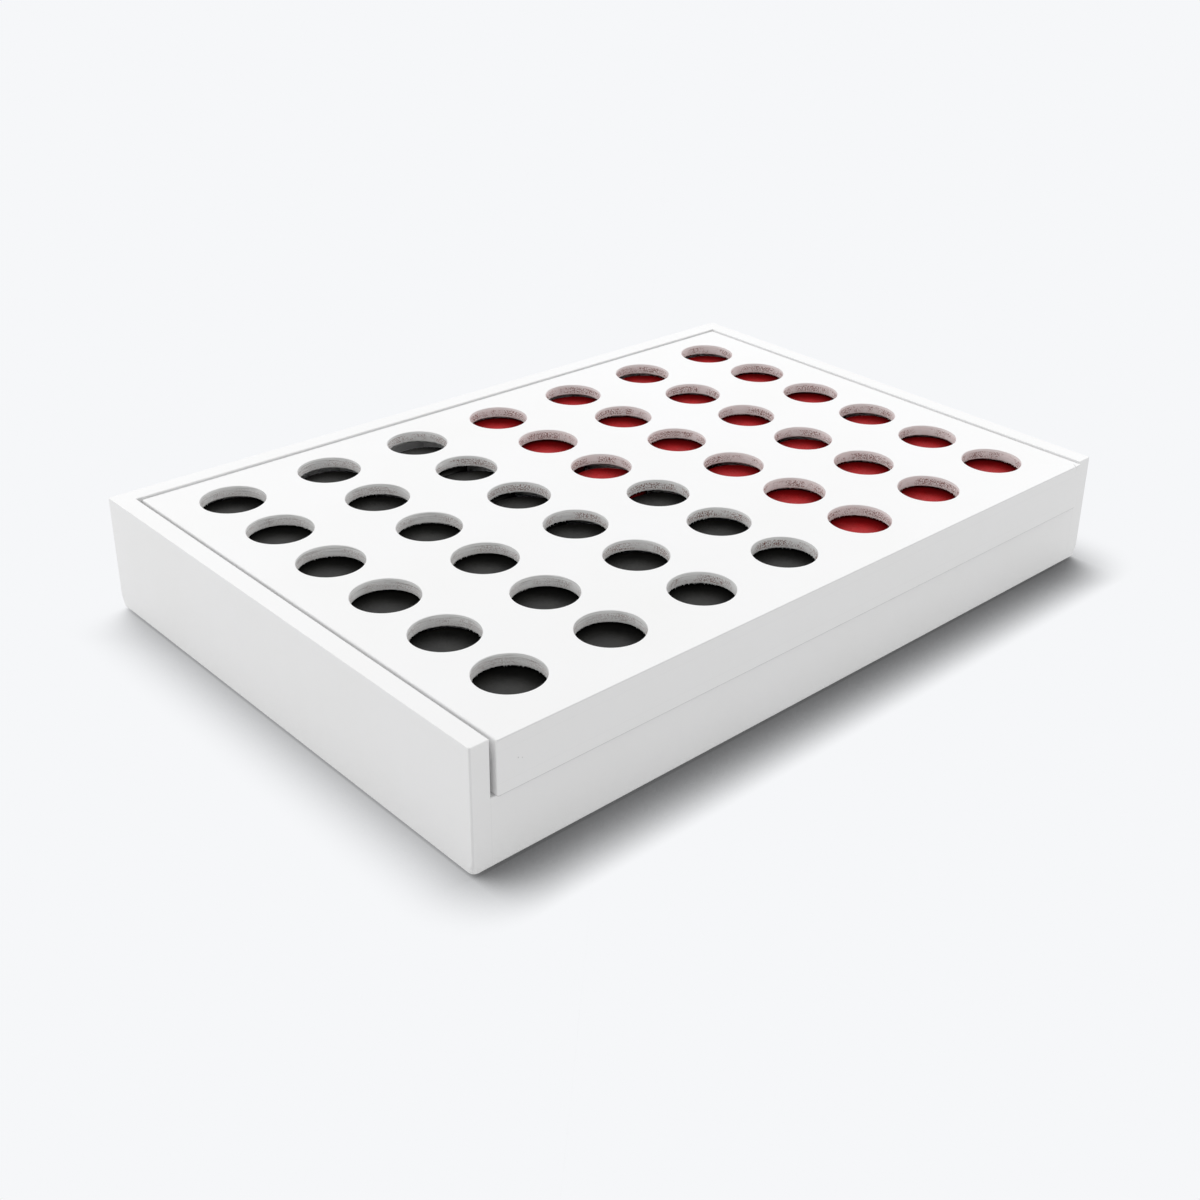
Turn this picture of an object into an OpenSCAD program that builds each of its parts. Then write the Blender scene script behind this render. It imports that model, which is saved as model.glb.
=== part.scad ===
// Four-in-a-row game, stored flat: a flat grid of windows with all its discs lies in a shallow tray.
// The grid lifts out and stands on its closed edge between the two cleats on the tray's floor.
// Frame: +X along the open front side, +Y from that side to the back wall, +Z up. The origin is on
// the table, under the middle of the whole game. Millimetres.

/* [Discs] */
// Diameter of a disc
disc_d = 28.4; // [26:0.1:34]
// Thickness of a disc
disc_t = 9; // [6:0.5:12]
// Radius that eases a disc's two rims
disc_edge_r = 0.8; // [0.3:0.1:1.5]
// Space between neighbouring discs that lie together in one column
disc_stack_gap = 0.25; // [0.2:0.05:0.6]
// How far the discs lie to the left of their channels' middle
disc_lean = 0.8; // [0:0.1:0.9]
// Share of a channel's free length by which loose discs have slid to the open end: short slide
short_slide = 0.25; // [0:0.01:0.9]
// The same share for a middling slide
middle_slide = 0.32; // [0:0.01:0.9]
// The same share for a long slide
long_slide = 0.44; // [0:0.01:0.9]

/* [Grid] */
// Diameter of a window, smaller than a disc so that the discs stay in
window_d = 22; // [14:0.5:24]
// Width of the bevel that breaks a window's outer rim
window_bevel = 0.2; // [0.1:0.1:0.6]
// Thickness of each of the two window plates
plate_t = 4; // [3:0.5:6]
// Thickness of the air over a disc that lies on one plate
disc_face_play = 1; // [0.5:0.1:2]
// Difference between a channel's width and a disc
disc_side_play = 2.6; // [2:0.1:3.4]
// Difference between the rows' spacing and a disc, so that a full column leaves room to spare
disc_row_play = 1.6; // [0.8:0.1:3]
// Width of the dividers between the channels
divider_w = 7; // [4:0.5:12]
// Radius that rounds the dividers' free ends, where the discs drop in
divider_nose_r = 2; // [0.5:0.1:2]
// Width of the bars at the two ends of the grid
end_bar_w = 7.8; // [5:0.1:14]
// Width of the bar that closes the lower ends of the channels
bottom_bar_w = 9; // [6:0.5:16]
// How far the plates reach past the last row, at the open ends of the channels
mouth_lip = 4.7; // [2:0.1:12]

/* [Tray] */
// Thickness of the side walls, the back wall and the front rail
wall_t = 6.7; // [5:0.1:10]
// Height of the front rail, on which the grid's front edge lies
rail_h = 22.7; // [22:0.1:32]
// Rise of the walls above the stored grid
rim_rise = 0.6; // [0.2:0.1:3]
// Thickness of the floor board
floor_t = 6; // [4:0.5:8]
// Gap between the grid and each side wall, when the grid lies in the middle
end_gap = 1; // [1:0.1:4]
// How far the stored grid lies to the right of the tray's middle
grid_shift = 0.6; // [-0.8:0.1:0.8]
// Gap between the grid and the back wall
back_gap = 0.6; // [0.5:0.1:3]
// How far the stored grid stands forward of the front rail
grid_proud = 1; // [0.25:0.25:2]
// Width of the ledge under the grid's back edge
ledge_w = 6; // [5:0.5:12]
// Width of each of the two cleats that hold the upright grid
cleat_w = 6; // [4:0.5:10]
// Height of the cleats over the floor, less than the lowest windows need
cleat_h = 12; // [6:0.5:13]
// Difference between the slot of the cleats and the grid's thickness
slot_play = 0.6; // [0.4:0.1:1.5]
// Diameter of the felt pads
pad_d = 14; // [8:1:20]
// Thickness of the felt pads
pad_t = 1; // [0.5:0.25:3]
// Distance from the tray's outside to a pad's centre
pad_inset = 18; // [16:1:40]

/* [Edges] */
// Radius of the lengthwise top edges
edge_r = 0.3; // [0.2:0.1:1.5]
// Radius of the upright corner edges
corner_r = 0.6; // [0.4:0.1:2]
// Radius of the tray's lower outer edges
foot_r = 2; // [0.5:0.1:2.5]
// Radius of the two edges that meet where the grid lies on the front rail
seam_r = 0.3; // [0.2:0.1:0.6]

/* [Hidden] */
// The rules of the game ask for this field
columns = 7;
rows = 6;
// A cut runs this far past a face, so that no skin is left
cut = 0.1;
$fn = 96;

core_t = disc_t + disc_face_play;
grid_t = core_t + 2 * plate_t;
channel_w = disc_d + disc_side_play;
column_pitch = channel_w + divider_w;
row_pitch = disc_d + disc_row_play;
disc_pitch = disc_d + disc_stack_gap;
free_run = rows * (row_pitch - disc_pitch) + mouth_lip + back_gap;
grid_l = columns * channel_w + (columns - 1) * divider_w + 2 * end_bar_w;
grid_d = bottom_bar_w + rows * row_pitch + mouth_lip;

inner_l = grid_l + 2 * end_gap;
tray_l = inner_l + 2 * wall_t;
tray_d = grid_d - grid_proud + back_gap + wall_t;
wall_h = rail_h + grid_t + rim_rise;

grid_front = -(tray_d + grid_proud) / 2;
tray_front = grid_front + grid_proud;
tray_back = tray_front + tray_d;
inner_front = tray_front + wall_t;
inner_back = tray_back - wall_t;
grid_back = grid_front + grid_d;

base_z = pad_t;
floor_z = base_z + floor_t;
rail_z = base_z + rail_h;
core_z = rail_z + plate_t;
front_plate_z = core_z + core_t;
rim_z = base_z + wall_h;

slot_w = grid_t + slot_play;
slot_y = (inner_front + inner_back) / 2;

lacquer_white = "white";
felt_grey = "dimgray";

function column_x(c) = (c - (columns + 1) / 2) * column_pitch;
function row_y(r) = grid_front + bottom_bar_w + (r - 1 / 2) * row_pitch;

// The discs are put away column by column: the first half is black, the rest is red
function is_black(c, r) = (c - 1) * rows + r <= columns * rows / 2;
function disc_name(c, r) = str(is_black(c, r) ? "black" : "red", "_disc_c", c, "_r", r);

// In each column the first few discs lie against the closed end, and the rest have slid back
settled = [2, 1, 6, 4, 3, 3, 3];
slides = [long_slide, short_slide, 0, long_slide, middle_slide, middle_slide, middle_slide] * free_run;
function disc_y(c, r) =
    grid_front + bottom_bar_w + disc_pitch * r - disc_d / 2 + (r > settled[c - 1] ? slides[c - 1] : 0);

// What a rounding cuts off a square corner at the origin, with the material towards +x and +y
module corner_waste(r) {
    difference() {
        translate([-cut, -cut]) square(r + cut);
        translate([r, r]) circle(r);
    }
}

// Rectangle from the origin, with one radius at its two low corners and one at its two high ones
module eased_rect(w, h, low_r, high_r) {
    difference() {
        square([w, h]);
        corner_waste(low_r);
        translate([w, 0]) rotate(90) corner_waste(low_r);
        translate([w, h]) rotate(180) corner_waste(high_r);
        translate([0, h]) rotate(270) corner_waste(high_r);
    }
}

// Block from the origin that has the eased outline in plan, from the front and from the side
module eased_block(size, upright_r, low_r, high_r) {
    intersection() {
        linear_extrude(size.z) eased_rect(size.x, size.y, upright_r, upright_r);
        translate([0, size.y, 0]) rotate([90, 0, 0])
            linear_extrude(size.y) eased_rect(size.x, size.z, low_r, high_r);
        rotate([90, 0, 90])
            linear_extrude(size.x) eased_rect(size.y, size.z, low_r, high_r);
    }
}

// Waste of a rounded top edge that runs along +X, with the material behind it and below it
module top_edge_waste(l, r) {
    rotate([90, 0, 90]) linear_extrude(l) mirror([0, 1]) corner_waste(r);
}

// Outside of the whole tray, eased as one once its boards are glued
module tray_block() {
    translate([-tray_l / 2, tray_front, base_z])
        eased_block([tray_l, tray_d, wall_h], corner_r, foot_r, edge_r);
}

// Puts a piece of the grid, modelled about the middle, where the stored grid lies
module in_grid(shade) {
    color(shade) translate([grid_shift, 0, 0]) children();
}

// Outside of the whole grid, eased as one once its bars and plates are glued
module grid_block() {
    translate([-grid_l / 2, grid_front, rail_z])
        eased_block([grid_l, grid_d, grid_t], corner_r, seam_r, edge_r);
}

// Left side wall; it runs the full depth, and its end grain shows at the front
module side_wall() {
    difference() {
        intersection() {
            tray_block();
            translate([-tray_l / 2 - cut, tray_front - cut, base_z - cut])
                cube([wall_t + cut, tray_d + 2 * cut, wall_h + 2 * cut]);
        }
        translate([-inner_l / 2, inner_back, rim_z]) rotate([90, 0, 0])
            linear_extrude(inner_back - tray_front + cut) rotate(180) corner_waste(edge_r);
        translate([-inner_l / 2, tray_front, rail_z])
            linear_extrude(wall_h - rail_h + cut) mirror([1, 0]) corner_waste(edge_r);
    }
}

module left_wall() {
    color(lacquer_white) side_wall();
}

module right_wall() {
    color(lacquer_white) mirror([1, 0, 0]) side_wall();
}

module back_wall() {
    color(lacquer_white) difference() {
        intersection() {
            tray_block();
            translate([-inner_l / 2, inner_back, base_z - cut])
                cube([inner_l, wall_t + cut, wall_h + 2 * cut]);
        }
        translate([-inner_l / 2 - cut, inner_back, rim_z]) top_edge_waste(inner_l + 2 * cut, edge_r);
    }
}

module front_rail() {
    color(lacquer_white) difference() {
        intersection() {
            tray_block();
            translate([-inner_l / 2, tray_front - cut, base_z - cut])
                cube([inner_l, wall_t + cut, rail_h + cut]);
        }
        translate([-inner_l / 2 - cut, tray_front, rail_z]) top_edge_waste(inner_l + 2 * cut, seam_r);
    }
}

module floor_board() {
    color(lacquer_white)
        translate([-inner_l / 2, inner_front, base_z])
            cube([inner_l, inner_back - inner_front, floor_t]);
}

// Strip along the foot of the back wall, level with the front rail
module back_ledge() {
    color(lacquer_white)
        translate([-inner_l / 2, inner_back - ledge_w, floor_z])
            cube([inner_l, ledge_w, rail_z - floor_z]);
}

// Strip on the floor in front of the slot, with its upper edge on the slot's side eased as a lead-in
module cleat() {
    translate([-inner_l / 2, 0, floor_z]) difference() {
        translate([0, -slot_w / 2 - cleat_w, 0]) cube([inner_l, cleat_w, cleat_h]);
        translate([inner_l + cut, -slot_w / 2, cleat_h]) rotate([0, 0, 180])
            top_edge_waste(inner_l + 2 * cut, corner_r);
    }
}

module front_cleat() {
    color(lacquer_white) translate([0, slot_y, 0]) cleat();
}

module rear_cleat() {
    color(lacquer_white) translate([0, slot_y, 0]) mirror([0, 1, 0]) cleat();
}

module felt_pads() {
    color(felt_grey)
        for (x = [-1, 1] * (tray_l / 2 - pad_inset), y = [tray_front + pad_inset, tray_back - pad_inset])
            translate([x, y, 0]) cylinder(d = pad_d, h = pad_t);
}

// A window's hole through a plate from its inner face up, with the bevel at the outer face
module window() {
    translate([0, 0, -cut]) cylinder(d = window_d, h = plate_t + 2 * cut);
    translate([0, 0, plate_t - window_bevel])
        cylinder(d1 = window_d, d2 = window_d + 2 * (window_bevel + cut), h = window_bevel + cut);
}

// The slice of the grid's block between two heights
module grid_slice(low, high, x0 = -grid_l / 2 - cut, x1 = grid_l / 2 + cut, y1 = grid_back + cut) {
    intersection() {
        grid_block();
        translate([x0, grid_front - cut, low]) cube([x1 - x0, y1 - grid_front + cut, high - low]);
    }
}

// Plate that faces up in the stored game
module front_plate() {
    in_grid(lacquer_white) difference() {
        grid_slice(front_plate_z, rail_z + grid_t + cut);
        for (c = [1:columns], r = [1:rows])
            translate([column_x(c), row_y(r), front_plate_z]) window();
    }
}

// Plate that faces down in the stored game, on which the discs lie
module back_plate() {
    in_grid(lacquer_white) difference() {
        grid_slice(rail_z - cut, core_z);
        for (c = [1:columns], r = [1:rows])
            translate([column_x(c), row_y(r), core_z]) mirror([0, 0, 1]) window();
    }
}

module bottom_bar() {
    half_l = grid_l / 2 - end_bar_w;
    in_grid(lacquer_white) grid_slice(core_z, front_plate_z, -half_l, half_l, grid_front + bottom_bar_w);
}

module end_bar() {
    grid_slice(core_z, front_plate_z, x1 = end_bar_w - grid_l / 2);
}

module left_end_bar() {
    in_grid(lacquer_white) end_bar();
}

module right_end_bar() {
    in_grid(lacquer_white) mirror([1, 0, 0]) end_bar();
}

// One divider in plan, with its free end rounded towards the channels on its two sides
module divider_plan() {
    l = grid_d - bottom_bar_w;
    difference() {
        translate([-divider_w / 2, 0]) square([divider_w, l]);
        translate([divider_w / 2, l]) rotate(180) corner_waste(divider_nose_r);
        translate([-divider_w / 2, l]) rotate(270) corner_waste(divider_nose_r);
    }
}

module column_dividers() {
    in_grid(lacquer_white)
        for (c = [1:columns - 1])
            translate([column_x(c) + column_pitch / 2, grid_front + bottom_bar_w, core_z])
                linear_extrude(core_t) divider_plan();
}

// One disc turned about its own axis, with both rims eased
module disc() {
    rotate_extrude() difference() {
        square([disc_d / 2, disc_t]);
        translate([disc_d / 2, 0]) rotate(90) corner_waste(disc_edge_r);
        translate([disc_d / 2, disc_t]) rotate(180) corner_waste(disc_edge_r);
    }
}

module disc_in_place(c, r) {
    in_grid(is_black(c, r) ? "#1b1b1c" : "#b3262a")
        translate([column_x(c) - disc_lean, disc_y(c, r), core_z]) disc();
}

floor_board();
left_wall();
right_wall();
back_wall();
front_rail();
back_ledge();
front_cleat();
rear_cleat();
felt_pads();
front_plate();
back_plate();
bottom_bar();
left_end_bar();
right_end_bar();
column_dividers();
for (c = [1:columns], r = [1:rows])
    disc_in_place(c, r);
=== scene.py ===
# %% [markdown]
# # A four-in-a-row game, put away flat
#
# The object is a shallow tray of painted board. A second box lies in it: a grid, which is two plates
# with 42 round windows each, glued to dividers so that seven channels run between them. The 42
# discs, half of them black and half red, lie in the channels and show through the windows.
# This lesson dresses a finished construction model, which holds every board at its real size. It
# keeps the boards and bars inside, and makes anew what a camera looks at closely: the tray's outer
# boards, the window plates, the discs and the felt under the tray.

# %% Load the construction model
import math

import bmesh
import bpy
import numpy as np
from mathutils import Euler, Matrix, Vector


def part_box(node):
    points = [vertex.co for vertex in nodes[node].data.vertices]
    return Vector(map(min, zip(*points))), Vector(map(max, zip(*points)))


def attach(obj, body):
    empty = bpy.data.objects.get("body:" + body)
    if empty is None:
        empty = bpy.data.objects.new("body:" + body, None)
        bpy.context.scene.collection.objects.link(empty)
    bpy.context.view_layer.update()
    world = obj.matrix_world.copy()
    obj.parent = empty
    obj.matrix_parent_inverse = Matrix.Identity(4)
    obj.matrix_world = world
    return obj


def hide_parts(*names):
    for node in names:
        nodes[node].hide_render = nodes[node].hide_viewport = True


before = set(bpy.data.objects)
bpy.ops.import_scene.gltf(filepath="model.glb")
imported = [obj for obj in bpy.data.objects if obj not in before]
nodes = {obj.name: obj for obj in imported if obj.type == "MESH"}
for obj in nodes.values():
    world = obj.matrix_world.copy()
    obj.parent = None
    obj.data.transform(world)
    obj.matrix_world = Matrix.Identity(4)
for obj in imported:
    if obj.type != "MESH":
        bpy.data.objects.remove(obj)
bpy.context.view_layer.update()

MM = 0.001
print("boards, bars and discs in the model:", len(nodes))

# %% [markdown]
# ## Camera
#
# The photograph looks down on the front left corner through a long lens. Its viewpoint was found
# from the outlines of the 42 windows, which are true circles of one size at one height. Three angles
# turn a camera that at first looks straight down. The shift moves the object within the frame, as a
# crop does, and leaves the perspective as it is.

# %% Place the camera
PHOTO_SIZE_PX = 1200.0
FOCAL_LENGTH_PX = 1574.2
VIEW_CENTRE_PX = (684.5, 508.2)
CAMERA_PLACE = (-346.85, -376.15, 274.2)
CAMERA_TURN = (64.514, -1.775, -44.245)
SENSOR_WIDTH = 36.0
NEAREST_VIEW = 10.0

camera_data = bpy.data.cameras.new("camera")
camera_data.sensor_width = SENSOR_WIDTH
camera_data.lens = FOCAL_LENGTH_PX * SENSOR_WIDTH / PHOTO_SIZE_PX
camera_data.shift_x = 0.5 - VIEW_CENTRE_PX[0] / PHOTO_SIZE_PX
camera_data.shift_y = VIEW_CENTRE_PX[1] / PHOTO_SIZE_PX - 0.5
camera_data.clip_start = NEAREST_VIEW * MM
camera = bpy.data.objects.new("camera", camera_data)
camera.location = [v * MM for v in CAMERA_PLACE]
camera.rotation_euler = Euler([math.radians(v) for v in CAMERA_TURN])
bpy.context.scene.collection.objects.link(camera)
bpy.context.scene.camera = camera
print("lens:", round(camera_data.lens, 2), "mm")

# %% [markdown]
# ## From numbers to a mesh
#
# Every new piece here is a net: rows of points, each row closed in a ring, and one four-sided face
# between each pair of neighbours. The points are worked out as whole arrays in millimetres, in the
# place where the piece lies. Points that fall together, such as the tip of a disc's face or the
# border that two windows share, are merged, so that each piece is one closed skin.

# %% Nets and pieces
MERGE_DISTANCE = 0.001


def ring_net(rings, rows, first=0):
    """Faces of a net of rings: point number = first + ring point * rows + row, rings closed."""
    i = np.arange(rings)[:, None]
    j = np.arange(rows - 1)[None, :]
    here = first + i * rows + j
    there = first + ((i + 1) % rings) * rows + j
    return np.stack([here, there, there + 1, here + 1], axis=-1).reshape(-1, 4)


def make_piece(name, points, faces, finishes, finish_of_face=None, flat_face=None):
    """One object from points in mm; flat_face marks the faces that stay flat under smooth shading."""
    mesh = bpy.data.meshes.new(name)
    mesh.from_pydata((points * MM).tolist(), [], faces.tolist())
    for finish in finishes:
        mesh.materials.append(finish)
    smooth = np.ones(len(faces), bool) if flat_face is None else ~flat_face
    mesh.polygons.foreach_set("use_smooth", smooth)
    if finish_of_face is not None:
        mesh.polygons.foreach_set("material_index", finish_of_face.astype(np.int32))
    net = bmesh.new()
    net.from_mesh(mesh)
    bmesh.ops.remove_doubles(net, verts=net.verts, dist=MERGE_DISTANCE * MM)
    net.to_mesh(mesh)
    net.free()
    piece = bpy.data.objects.new(name, mesh)
    bpy.context.scene.collection.objects.link(piece)
    return piece


def box_mm(node):
    """Lowest and highest corner of a construction node, in mm."""
    low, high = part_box(node)
    return np.array(low) / MM, np.array(high) / MM


# %% [markdown]
# ## Materials
#
# A material is a small graph of nodes. One function adds a node, sets it and links it, so that each
# recipe below reads as a list. Colours are written as the sRGB codes that a picture editor shows,
# and turned to the linear values that light adds up in.

# %% Colour and node helpers
NOISE_ROUGHNESS = 0.55
SURFACE_IOR = 1.5


def colour(code):
    """An sRGB hex colour as linear red, green, blue and alpha."""
    srgb = np.array([int(code[i:i + 2], 16) for i in (1, 3, 5)]) / 255
    linear = np.where(srgb <= 0.04045, srgb / 12.92, ((srgb + 0.055) / 1.055) ** 2.4)
    return (*linear.tolist(), 1.0)


def add_node(tree, kind, inputs=None, **settings):
    """Adds one node: settings are its properties, inputs give a socket its value or its link."""
    node = tree.nodes.new(kind)
    for name, value in settings.items():
        setattr(node, name, value)
    for socket, value in (inputs or {}).items():
        if isinstance(value, bpy.types.NodeSocket):
            tree.links.new(value, node.inputs[socket])
        else:
            node.inputs[socket].default_value = value
    return node


def calculate(tree, operation, a, b=0.0, clamp=False):
    """One sum on numbers or on the outputs of nodes."""
    return add_node(tree, "ShaderNodeMath", {0: a, 1: b}, operation=operation, use_clamp=clamp).outputs[0]


def product(tree, first, *others):
    """The product of masks or numbers, taken from left to right."""
    for other in others:
        first = calculate(tree, "MULTIPLY", first, other)
    return first


def on_vectors(tree, operation, a, b):
    """One sum on vectors; it gives a number for a distance or a dot product, else a vector."""
    node = add_node(tree, "ShaderNodeVectorMath", {0: a, 1: b}, operation=operation)
    return node.outputs["Value" if operation in ("DISTANCE", "DOT_PRODUCT") else "Vector"]


def step_between(tree, value, start, end):
    """0 where value is at start, 1 where it is at end, and a soft step between; either way round."""
    node = add_node(tree, "ShaderNodeMapRange", {0: value, 1: start, 2: end, 3: 0.0, 4: 1.0})
    node.interpolation_type = "SMOOTHSTEP"
    return node.outputs[0]


def blend_colours(tree, factor, first, second):
    """first where factor is 0, second where it is 1."""
    node = add_node(tree, "ShaderNodeMix", {0: factor, 6: first, 7: second}, data_type="RGBA")
    return node.outputs[2]


def speckle(tree, place, size, detail=2.0, stretch=None):
    """Cloudy noise from 0 to 1 whose blobs are about size mm across; stretch scales it per axis."""
    if stretch is not None:
        place = on_vectors(tree, "MULTIPLY", place, stretch)
    inputs = {"Vector": place, "Scale": 1 / (size * MM), "Detail": detail,
              "Roughness": NOISE_ROUGHNESS}
    return add_node(tree, "ShaderNodeTexNoise", inputs).outputs[0]


def open_sky(tree, lean, reach, samples):
    """1 where nothing stands within reach mm towards lean, 0 where all is hidden."""
    towards = add_node(tree, "ShaderNodeCombineXYZ", dict(enumerate(lean))).outputs[0]
    inputs = {"Distance": reach * MM, "Normal": towards}
    return add_node(tree, "ShaderNodeAmbientOcclusion", inputs, samples=samples).outputs["AO"]


def new_finish(name, roughness):
    """A material with one principled shader; returns it with its tree, shader and object place."""
    finish = bpy.data.materials.new(name)
    finish.use_nodes = True
    tree = finish.node_tree
    shader = tree.nodes["Principled BSDF"]
    shader.inputs["Roughness"].default_value = roughness
    shader.inputs["IOR"].default_value = SURFACE_IOR
    place = add_node(tree, "ShaderNodeTexCoord").outputs["Object"]
    return finish, tree, shader, place


def raise_surface(tree, shader, *layers):
    """Adds bump layers: each is a height from 0 to 1 and its relief in mm."""
    normal = None
    for height, relief in layers:
        inputs = {"Height": height, "Distance": relief * MM, "Strength": 1.0}
        if normal is not None:
            inputs["Normal"] = normal
        normal = add_node(tree, "ShaderNodeBump", inputs).outputs[0]
    tree.links.new(normal, shader.inputs["Normal"])


# %% [markdown]
# ### White lacquer on board
#
# The boards are medium density fibreboard, which has no grain. It is filled, sanded and sprayed with
# a satin white lacquer. A sprayed coat levels out but never quite: it keeps a shallow orange peel
# with ripples about 2 mm wide, and a much finer dust. The eye hardly sees either, but they break up
# the mirror image of the lamps, so that a level face shades softly instead of flashing.

# %% Satin white lacquer
LACQUER_WHITE = "#f2f2f3"
LACQUER_SHADE = "#eeeeed"
SATIN_ROUGHNESS = 0.42
CLOUD_WIDTH = 45.0
PEEL_WIDTH = 2.2
PEEL_RELIEF = 0.006
DUST_WIDTH = 0.45
DUST_RELIEF = 0.0012
# Grey of the real marks and of the painted shade lines in the lacquer.
MARK_AND_SHADE_GREY = "#8f9094"


def white_lacquer(name, marks_and_shade):
    """Sprayed board. marks_and_shade(tree, place) masks hairlines, specks and painted shade, or None."""
    finish, tree, shader, place = new_finish(name, SATIN_ROUGHNESS)
    clouds = speckle(tree, place, CLOUD_WIDTH, detail=3.0)
    paint = blend_colours(tree, clouds, colour(LACQUER_WHITE), colour(LACQUER_SHADE))
    mask = marks_and_shade(tree, place)
    if mask is not None:
        paint = blend_colours(tree, mask, paint, colour(MARK_AND_SHADE_GREY))
    tree.links.new(paint, shader.inputs["Base Color"])
    peel = speckle(tree, place, PEEL_WIDTH, detail=1.0)
    dust = speckle(tree, place, DUST_WIDTH, detail=1.0)
    raise_surface(tree, shader, (peel, PEEL_RELIEF), (dust, DUST_RELIEF))
    return finish


# %% [markdown]
# A few marks keep the paint from looking like plastic: a hairline where the front rail meets the end
# of each side wall, another where the plates are glued to the bar between them, three specks of dust
# under the coat on the grid's front face, and a short crack that runs in from a knock near its front
# right corner. Three lines beside them are painted shade: a grey one along the top of the grid's
# front face under its eased edge, a grey one down each side wall's rounded front corner, and a
# darker one along the seat of the grid on the rail.

# %% Marks and painted shade lines in the lacquer
HAIRLINE_WIDTH = 0.16
FADE_BEHIND_FACE = (0.9, 0.5)
FADE_UNDER_RIM = (0.2, 1.0)
RAIL_LINE_STRENGTH = 0.06
UPRIGHT_SHADE_STRENGTH = 0.13
UPRIGHT_SHADE_WIDTH = 0.35
PLATE_LINE_STRENGTH = 0.03
SPECKS = ((-129.6, 33.2, 0.26), (-128.2, 32.6, 0.2), (43.3, 23.9, 0.4))
SPECK_FADE = (1.3, 0.5)
SPECK_STRENGTH = 0.4
SEAT_SHADE_STRENGTH = 0.4
SEAT_SHADE_WIDTH = 0.5
EDGE_SHADE_STRENGTH = 0.13
EDGE_SHADE_WIDTH = 0.4
EDGE_SHADE_DEPTH = 0.1
CRACK_START = (134.4, -100.5)
CRACK_END = (135.4, -98.7)
CRACK_WIDTH = 0.2
CRACK_FADE = (0.6, 0.4)
CRACK_LOWEST = 3.5
CRACK_STRENGTH = 0.5


def near(tree, value, centre, half_width):
    """1 within half_width mm of centre, fading to 0 at twice that."""
    away = calculate(tree, "ABSOLUTE", calculate(tree, "SUBTRACT", value, centre * MM))
    return step_between(tree, away, 2 * half_width * MM, half_width * MM)


def tray_marks_and_shade(tree, place):
    """Hairlines down the front rail's two ends, and painted shade down the walls' rounded front corners.
    """
    x, y, z = add_node(tree, "ShaderNodeSeparateXYZ", {0: place}).outputs
    across = calculate(tree, "ABSOLUTE", x)
    low, high = box_mm("front_rail")
    in_front = step_between(tree, y, *((low[1] + depth) * MM for depth in FADE_BEHIND_FACE))
    below = step_between(tree, z, *((high[2] - depth) * MM for depth in FADE_UNDER_RIM))
    joint = product(tree, near(tree, across, high[0], HAIRLINE_WIDTH / 2), in_front, below,
                    RAIL_LINE_STRENGTH)
    # Painted shade: a grey line down each side wall's rounded front corner.
    corner = box_mm("right_wall")[1][0] - UPRIGHT_SHADE_WIDTH
    upright_shade = product(tree, near(tree, across, corner, UPRIGHT_SHADE_WIDTH / 2), in_front,
                      UPRIGHT_SHADE_STRENGTH)
    return calculate(tree, "MAXIMUM", joint, upright_shade)


def crack_mark(tree, place, bar_top):
    """A line from CRACK_START to CRACK_END, seen on the top face: near it, and near its middle."""
    start, end = np.array([CRACK_START, CRACK_END])
    length = np.linalg.norm(end - start)
    across = (np.array([start[1] - end[1], end[0] - start[0]]) / length).tolist()
    line = near(tree, on_vectors(tree, "DOT_PRODUCT", place, (*across, 0)),
                float(np.dot(start, across)), CRACK_WIDTH / 2)
    middle = (*((start + end) / 2 * MM).tolist(), 0)
    away = on_vectors(tree, "DISTANCE", on_vectors(tree, "MULTIPLY", place, (1, 1, 0)), middle)
    height = add_node(tree, "ShaderNodeSeparateXYZ", {0: place}).outputs[2]
    close = step_between(tree, away, *(length * share * MM for share in CRACK_FADE))
    on_top = calculate(tree, "GREATER_THAN", height, (bar_top + CRACK_LOWEST) * MM)
    return product(tree, line, close, on_top, CRACK_STRENGTH)


def grid_marks_and_shade(tree, place):
    """Glue lines over and under the bars, painted shade lines at the seat and under the top edge, specks
    and the crack.
    """
    _, y, z = add_node(tree, "ShaderNodeSeparateXYZ", {0: place}).outputs
    low, high = box_mm("bottom_bar")
    glue = calculate(tree, "MAXIMUM", near(tree, z, low[2], HAIRLINE_WIDTH / 2),
                     near(tree, z, high[2], HAIRLINE_WIDTH / 2))
    # Painted shade: a darker line along the seat of the grid on the rail, where the seam lies in shade.
    seat_shade = near(tree, z, box_mm("back_plate")[0][2], SEAT_SHADE_WIDTH / 2)
    # Painted shade: a grey line on the front face just under the eased top edge.
    edge_shade = near(tree, z, box_mm("front_plate")[1][2] - EDGE_SHADE_WIDTH / 2, EDGE_SHADE_WIDTH / 2)
    in_front = calculate(tree, "LESS_THAN", y, (low[1] + EDGE_SHADE_DEPTH) * MM)
    marks_and_shade = [product(tree, glue, PLATE_LINE_STRENGTH), product(tree, seat_shade, SEAT_SHADE_STRENGTH),
             product(tree, edge_shade, in_front, EDGE_SHADE_STRENGTH)]
    for speck_x, speck_z, radius in SPECKS:
        away = on_vectors(tree, "DISTANCE", place, (speck_x * MM, low[1] * MM, speck_z * MM))
        spot = step_between(tree, away, *(share * radius * MM for share in SPECK_FADE))
        marks_and_shade.append(product(tree, spot, SPECK_STRENGTH))
    mask = crack_mark(tree, place, high[2])
    for mark in marks_and_shade:
        mask = calculate(tree, "MAXIMUM", mask, mark)
    return mask


tray_white = white_lacquer("satin_white_lacquer_on_tray", tray_marks_and_shade)
grid_white = white_lacquer("satin_white_lacquer_on_grid", grid_marks_and_shade)
print("orange peel ripples:", PEEL_WIDTH, "mm wide")

# %% [markdown]
# The boards and bars inside have the right shape already, with their eased edges, so they keep
# their meshes and only get the finish.

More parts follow.
